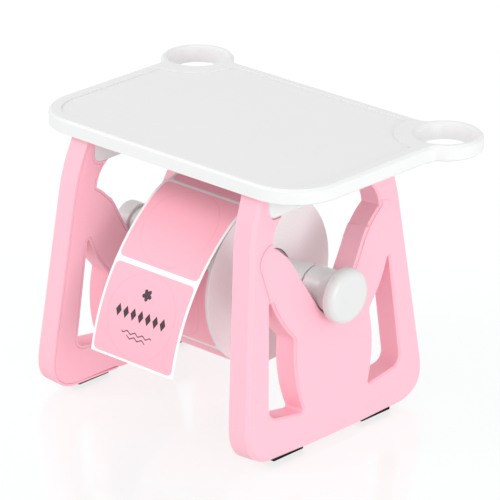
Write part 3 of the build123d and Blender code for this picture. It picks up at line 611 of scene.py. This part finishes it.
def make_roll(papers):
    """The wound roll, its core and the labels on its outer turn.

    The roll's sides have rings at the shares t^SIDE_CROWDING of the way out, for even steps of t, and
    FACE_EDGE gives the rounding there: steps in from the side and depths below the face.
    """
    low, high = ROLL_X - LINER_WIDTH / 2, ROLL_X + LINER_WIDTH / 2
    outer = CORE_BORE_RADIUS + CORE_WALL
    share = np.linspace(0, 1, SIDE_RINGS)[:, None] ** SIDE_CROWDING
    top = np.array((low, WOUND_RADIUS - SIDE_TOP_DEPTH))
    left = np.array((low, outer + TURN_GAP)) * (1 - share) + top * share
    left = np.vstack([left, [(low + step, WOUND_RADIUS - depth) for step, depth in FACE_EDGE]])
    profile = np.vstack([left, left[::-1] * (-1, 1) + (2 * ROLL_X, 0)])
    mesh = lathe("wound_roll", profile, ROLL_Z, ROLL_SEGMENTS, closed=True)
    roll = as_object(mesh.name, mesh, papers["wound"], "roll")
    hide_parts("label_roll")
    tube = np.array([
        (low, CORE_BORE_RADIUS + CORE_CHAMFER_IN),
        (low, outer - CORE_CHAMFER_OUT),
        (low + CORE_CHAMFER_OUT, outer),
        (high - CORE_CHAMFER_OUT, outer),
        (high, outer - CORE_CHAMFER_OUT),
        (high, CORE_BORE_RADIUS + CORE_CHAMFER_IN),
        (high - CORE_CHAMFER_IN, CORE_BORE_RADIUS),
        (low + CORE_CHAMFER_IN, CORE_BORE_RADIUS),
    ])
    mesh = lathe("core_tube", tube, ROLL_Z, CORE_SEGMENTS, closed=True)
    core = as_object(mesh.name, mesh, papers["core"], "roll")
    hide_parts("roll_core")
    round_trip = 2 * pi * ROLL_RADIUS
    for number, start in enumerate(np.arange(LABEL_GAP / 2, round_trip - LABEL_PITCH / 2, LABEL_PITCH)):
        end = min(start + LABEL_LENGTH, round_trip - LABEL_GAP / 2)
        mesh = sheet_mesh(f"roll_label_{number}", on_roll, start, end, LABEL_WIDTH, 0.0, LABEL_THICKNESS,
                          LABEL_CORNER, LABEL_ROWS)
        label = as_object(mesh.name, mesh, papers["label"], "roll")
        if number == 0:
            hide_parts("roll_labels")


def make_strip(papers):
    """The hanging end of the liner and its two labels."""
    mesh = sheet_mesh("liner_strip", on_strip, STRIP_START, STRIP_END, LINER_WIDTH, 0.0, LINER_THICKNESS,
                      0, LINER_ROWS)
    liner = as_object(mesh.name, mesh, papers["liner"], "stand")
    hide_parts("label_strip")
    for number, paper in enumerate((papers["label"], papers["printed"])):
        start = STRIP_START + LABEL_GAP / 2 + number * LABEL_PITCH
        mesh = sheet_mesh(f"strip_label_{number}", on_strip, start, start + LABEL_LENGTH, LABEL_WIDTH,
                          LINER_THICKNESS, LINER_THICKNESS + LABEL_THICKNESS, LABEL_CORNER, LABEL_ROWS)
        as_object(mesh.name, mesh, paper, "stand")
    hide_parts("strip_labels")


# Materials

def paint(name, roughness, colour, **sockets):
    """A material whose shader has these constants on its own sockets."""
    material = bpy.data.materials.new(name)
    material.use_nodes = True
    shader = material.node_tree.nodes["Principled BSDF"]
    shader.inputs["Base Color"].default_value = (*colour, 1)
    shader.inputs["Roughness"].default_value = roughness
    for socket, value in sockets.items():
        shader.inputs[socket.replace("_", " ")].default_value = value
    return material


def shader_node(material, kind, **inputs):
    """A new node of the material with these inputs: numbers, colours or sockets to link."""
    tree = material.node_tree
    new = tree.nodes.new(kind)
    for key, value in inputs.items():
        socket = new.inputs[key.replace("_", " ")]
        if isinstance(value, bpy.types.NodeSocket):
            tree.links.new(value, socket)
        else:
            socket.default_value = value
    return new


def arithmetic(material, operation, *values):
    """The result of one operation on numbers or sockets."""
    new = material.node_tree.nodes.new("ShaderNodeMath")
    new.operation = operation
    for socket, value in zip(new.inputs, values):
        if isinstance(value, bpy.types.NodeSocket):
            material.node_tree.links.new(value, socket)
        else:
            socket.default_value = value
    return new.outputs[0]


def length_of(material, across, along):
    """The length of a vector from its two parts."""
    squares = [arithmetic(material, "POWER", part, 2.0) for part in (across, along)]
    return arithmetic(material, "SQRT", arithmetic(material, "ADD", *squares))


def place_of(material):
    """The Object coordinates of a piece."""
    return shader_node(material, "ShaderNodeTexCoord").outputs["Object"]


def noise(material, scale, detail=3.0):
    """A soft noise in the piece's own space."""
    new = shader_node(material, "ShaderNodeTexNoise", Vector=place_of(material), Scale=scale, Detail=detail)
    return new.outputs["Fac"]


def mixed_in(material, share, base, colour):
    """A colour laid over a base, which is a colour or a socket, by a share."""
    mix = material.node_tree.nodes.new("ShaderNodeMix")
    mix.data_type = "RGBA"
    material.node_tree.links.new(share, mix.inputs["Factor"])
    if isinstance(base, bpy.types.NodeSocket):
        material.node_tree.links.new(base, mix.inputs["A"])
    else:
        mix.inputs["A"].default_value = (*base, 1)
    mix.inputs["B"].default_value = (*colour, 1)
    return mix.outputs["Result"]


def ranged(material, value, low, high, from_low=0.0, from_high=1.0):
    """A number moved from one range to another."""
    new = shader_node(material, "ShaderNodeMapRange", Value=value, From_Min=from_low, From_Max=from_high,
                      To_Min=low, To_Max=high)
    return new.outputs["Result"]


def wire(material, socket, value):
    """Links a value to a socket of the material's shader."""
    shader = material.node_tree.nodes["Principled BSDF"]
    material.node_tree.links.new(value, shader.inputs[socket])


def grain(material, height, strength, distance):
    """Small bumps on the material's surface, with their height in metres."""
    bump = shader_node(material, "ShaderNodeBump", Height=height, Strength=strength, Distance=distance)
    wire(material, "Normal", bump.outputs["Normal"])


def moulded_plastic(name, colour, shade, roughness):
    """Satin moulded plastic: faint flow clouds in its colour and gloss, and a fine spark texture."""
    material = paint(name, roughness, colour, Specular_IOR_Level=0.45)
    clouds = noise(material, scale=34.0)
    wire(material, "Base Color", mixed_in(material, clouds, shade, colour))
    gloss = noise(material, scale=90.0)
    gloss = ranged(material, gloss, low=roughness - GLOSS_BELOW, high=roughness + GLOSS_ABOVE)
    wire(material, "Roughness", gloss)
    grain(material, noise(material, scale=2600.0, detail=2.0), strength=0.05, distance=0.00008)
    return material


def pad_rubber():
    """Dull black rubber with a fine grain."""
    material = paint("pad rubber", 0.9, PAD_BLACK, Specular_IOR_Level=0.2)
    patches = noise(material, scale=300.0)
    wire(material, "Base Color", mixed_in(material, patches, PAD_BLACK_DARK, PAD_BLACK_LIGHT))
    grain(material, noise(material, scale=3000.0), strength=0.35, distance=0.0002)
    return material


def brushed_steel(name, colour):
    """Drawn steel: streaks that run along the rod."""
    material = paint(name, 0.3, colour, Metallic=1.0)
    stretch = shader_node(material, "ShaderNodeMapping", Vector=place_of(material), Scale=STREAK_SCALE)
    streaks = shader_node(material, "ShaderNodeTexNoise", Vector=stretch.outputs["Vector"], Scale=1.0)
    gloss = ranged(material, streaks.outputs["Fac"], low=0.22, high=0.42)
    wire(material, "Roughness", gloss)
    return material


def cardboard():
    """Grey core board with fibres."""
    material = paint("core board", 0.85, BOARD_GREY)
    fibres = noise(material, scale=900.0, detail=5.0)
    wire(material, "Base Color", mixed_in(material, fibres, BOARD_GREY_DARK, BOARD_GREY_LIGHT))
    grain(material, fibres, strength=0.4, distance=0.0002)
    return material


def roll_centre_distance(material):
    """The distance of a point from the roll's axis, in metres."""
    shifted = shader_node(material, "ShaderNodeMapping", Vector=place_of(material),
                          Location=(0.0, -FRAME_Y * MM, -ROLL_Z * MM))
    parts = shader_node(material, "ShaderNodeSeparateXYZ", Vector=shifted.outputs["Vector"])
    return length_of(material, parts.outputs["Y"], parts.outputs["Z"])


def wound_paper():
    """The roll's sides: hundreds of paper edges, seen as fine rings of slightly different greys."""
    material = paint("wound paper", 0.7, WOUND_WHITE)
    out = roll_centre_distance(material)
    ring = arithmetic(material, "SINE", arithmetic(material, "MULTIPLY", out, 2 * pi / (TURN_PITCH * MM)))
    ring = arithmetic(material, "MULTIPLY", ring, TURN_SHARE)
    bands = shader_node(material, "ShaderNodeTexNoise", Scale=2600.0, Detail=2.0)
    bands.noise_dimensions = "1D"
    material.node_tree.links.new(out, bands.inputs["W"])
    rings = arithmetic(material, "ADD", ring, bands.outputs["Fac"])
    wire(material, "Base Color", mixed_in(material, rings, WOUND_WHITE_DARK, WOUND_WHITE_LIGHT))
    grain(material, rings, strength=0.12, distance=0.00012)
    return material


def liner_paper():
    """Smooth white release paper."""
    material = paint("liner paper", 0.55, LINER_WHITE)
    fibres = noise(material, scale=700.0, detail=5.0)
    wire(material, "Base Color", mixed_in(material, fibres, LINER_WHITE_DARK, LINER_WHITE_LIGHT))
    grain(material, fibres, strength=0.1, distance=0.0001)
    return material


def flat_place(material):
    """Where a point lies on its flat sheet: across and along from the middle, in millimetres."""
    flat = shader_node(material, "ShaderNodeUVMap")
    flat.uv_map = "flat"
    parts = shader_node(material, "ShaderNodeSeparateXYZ", Vector=flat.outputs["UV"])
    return [arithmetic(material, "MULTIPLY", parts.outputs[axis], 1 / MM) for axis in ("X", "Y")]


def beyond(material, value, reach):
    """How far the size of a value goes beyond a reach."""
    size = arithmetic(material, "ABSOLUTE", value)
    return arithmetic(material, "SUBTRACT", size, reach)


def inked(material, distance):
    """1 where a signed distance in millimetres is negative, 0 where it is positive, with a soft edge."""
    return ranged(material, distance, low=1.0, high=0.0, from_low=-INK_EDGE, from_high=INK_EDGE)


def lozenge_row(material, across, along):
    """The signed distance to a row of lozenges: |u| / w + |v| / h < 1 in cells of LOZENGE_PITCH."""
    cell = arithmetic(material, "WRAP", across, LOZENGE_PITCH / 2, -LOZENGE_PITCH / 2)
    width = arithmetic(material, "DIVIDE", arithmetic(material, "ABSOLUTE", cell), LOZENGE_HALF_WIDTH)
    height = arithmetic(material, "DIVIDE", arithmetic(material, "ABSOLUTE", along), LOZENGE_HALF_HEIGHT)
    slant = arithmetic(material, "SUBTRACT", arithmetic(material, "ADD", width, height), 1.0)
    lozenge = arithmetic(material, "MULTIPLY", slant, LOZENGE_EDGE)
    return arithmetic(material, "MAXIMUM", lozenge, beyond(material, across, ROW_HALF_LENGTH))


def flower(material, across, along):
    """The signed distance to a flower of five petals: r = R (1 - d + d |cos 2.5 a|) at its edge."""
    up = arithmetic(material, "ADD", along, FLOWER_UP)
    turn = arithmetic(material, "MULTIPLY", arithmetic(material, "ARCTAN2", across, up), FLOWER_TURNS)
    petal = arithmetic(material, "ABSOLUTE", arithmetic(material, "COSINE", turn))
    edge = ranged(material, petal, low=FLOWER_RADIUS * (1 - FLOWER_DENT), high=FLOWER_RADIUS)
    return arithmetic(material, "SUBTRACT", length_of(material, across, up), edge)


def wavy_line(material, across, along, place, reach):
    """The signed distance to a wavy line: v = place + WAVE_SIZE sin(WAVE_RATE u), as far as its reach."""
    wave = arithmetic(material, "SINE", arithmetic(material, "MULTIPLY", across, WAVE_RATE))
    wave = arithmetic(material, "MULTIPLY", wave, WAVE_SIZE)
    off = arithmetic(material, "SUBTRACT", arithmetic(material, "SUBTRACT", along, place), wave)
    line = beyond(material, off, WAVE_HALF_LINE)
    return arithmetic(material, "MAXIMUM", line, beyond(material, across, reach))


def printed_design(material, across, along):
    """The share of ink at a point: a flower, a row of lozenges and two wavy lines."""
    shapes = [lozenge_row(material, across, along), flower(material, across, along)]
    shapes += [wavy_line(material, across, along, place, reach) for place, reach in WAVES]
    ink = inked(material, shapes[0])
    for shape in shapes[1:]:
        ink = arithmetic(material, "MAXIMUM", ink, inked(material, shape))
    return ink


def label_paper(name, printed):
    """Coated pink label paper with a faint die-cut circle, and a printed design where asked."""
    material = paint(name, 0.5, LABEL_PINK)
    fibres = noise(material, scale=500.0, detail=5.0)
    base = mixed_in(material, fibres, LABEL_PINK_SHADE, LABEL_PINK)
    across, along = flat_place(material)
    off = arithmetic(material, "SUBTRACT", length_of(material, across, along), LABEL_DIE_RADIUS)
    off = arithmetic(material, "ABSOLUTE", off)
    line = ranged(material, off, low=1.0, high=0.0, from_high=DIE_LINE)
    base = mixed_in(material, arithmetic(material, "MULTIPLY", line, DIE_LINE_SHARE), base, LABEL_LINE_PINK)
    if printed:
        base = mixed_in(material, printed_design(material, across, along), base, LABEL_INK)
    wire(material, "Base Color", base)
    grain(material, arithmetic(material, "SUBTRACT", fibres, line), strength=0.08, distance=0.0001)
    return material


# Stage

def make_camera():
    """The camera at the photograph's viewing angle: right, up and back are its own axes."""
    right = Vector((cos(CAMERA_TURN), sin(CAMERA_TURN), 0))
    level = cos(CAMERA_RISE)
    back = Vector((sin(CAMERA_TURN) * level, -cos(CAMERA_TURN) * level, sin(CAMERA_RISE)))
    up = back.cross(right)
    data = bpy.data.cameras.new("camera")
    data.lens = CAMERA_LENS
    data.sensor_width = SENSOR
    data.clip_end = CAMERA_REACH
    camera = bpy.data.objects.new("camera", data)
    bpy.context.scene.collection.objects.link(camera)
    place = CAMERA_TARGET + right * CAMERA_RIGHT_SHIFT + up * CAMERA_UP_SHIFT + back * CAMERA_DISTANCE
    turn = Matrix((right, up, back)).transposed().to_4x4()
    camera.matrix_world = Matrix.Translation(place) @ turn
    bpy.context.scene.camera = camera


def soft_light(name, place, size, power):
    """A square soft light at a place, aimed at the object."""
    data = bpy.data.lights.new(name, "AREA")
    data.shape = "SQUARE"
    data.size = size
    data.energy = power
    lamp = bpy.data.objects.new(name, data)
    lamp.location = place
    lamp.rotation_euler = (Vector(LIGHT_AIM) - Vector(place)).to_track_quat("-Z", "Y").to_euler()
    bpy.context.scene.collection.objects.link(lamp)


def make_floor():
    """A pale glossy floor, which glows a little less for the object than for the camera."""
    ends = np.array((-FLOOR_HALF, FLOOR_HALF))
    x, y = np.meshgrid(ends, ends, indexing="ij")
    mesh = grid_mesh("floor", np.stack([x, y, np.zeros_like(x)], axis=-1) / MM)
    floor_paint = paint("floor", 0.12, FLOOR_GREY, Specular_IOR_Level=0.5, Emission_Color=FLOOR_GLOW_COLOUR)
    seen = shader_node(floor_paint, "ShaderNodeLightPath").outputs["Is Camera Ray"]
    wire(floor_paint, "Emission Strength", ranged(floor_paint, seen, FLOOR_BOUNCE, FLOOR_GLOW))
    mesh.materials.append(floor_paint)
    floor = bpy.data.objects.new("floor", mesh)
    bpy.context.scene.collection.objects.link(floor)


def make_studio():
    """A bright even studio, a little darker overhead, with a key light and a fill light."""
    world = bpy.data.worlds.new("studio")
    world.use_nodes = True
    sky = world.node_tree.nodes["Background"]
    sky.inputs["Color"].default_value = (1, 1, 1, 1)
    direction = shader_node(world, "ShaderNodeTexCoord").outputs["Generated"]
    rise = shader_node(world, "ShaderNodeSeparateXYZ", Vector=direction).outputs["Z"]
    world.node_tree.links.new(ranged(world, rise, HORIZON_LIGHT, ZENITH_LIGHT), sky.inputs["Strength"])
    bpy.context.scene.world = world
    bpy.context.scene.view_settings.view_transform = "Standard"
    soft_light("key", **KEY_LIGHT)
    soft_light("fill", **FILL_LIGHT)


def main():
    """Dresses every node and sets the stage."""
    pink = moulded_plastic("pink plastic", FRAME_PINK, FRAME_PINK_SHADE, roughness=0.42)
    white = moulded_plastic("white plastic", TRAY_WHITE, TRAY_WHITE_SHADE, roughness=0.38)
    knob_white = moulded_plastic("knob plastic", KNOB_WHITE, KNOB_WHITE_SHADE, roughness=0.3)
    papers = {
        "wound": wound_paper(),
        "core": cardboard(),
        "liner": liner_paper(),
        "label": label_paper("label paper", printed=False),
        "printed": label_paper("printed label paper", printed=True),
    }
    rubber = pad_rubber()
    moulded("tray_deck", "tray_moulding", white, tray_finished)
    for side in ("left", "right"):
        moulded(f"side_frame_{side}", f"frame_moulding_{side}", pink, frame_finished)
        moulded(f"frame_cover_{side}", f"cover_moulding_{side}", pink, cover_finished)
        for end in ("front", "rear"):
            moulded(f"foot_pad_{end}_{side}", f"pad_{end}_{side}", rubber)
        repainted(f"cover_screws_{side}", brushed_steel(f"screw steel {side}", SCREW_STEEL))
    repainted("axle_rod", brushed_steel("rod steel", ROD_STEEL))
    repainted("grip_ring", rubber)
    make_roll(papers)
    make_strip(papers)
    make_spindle(knob_white)
    make_floor()
    make_studio()
    make_camera()


main()
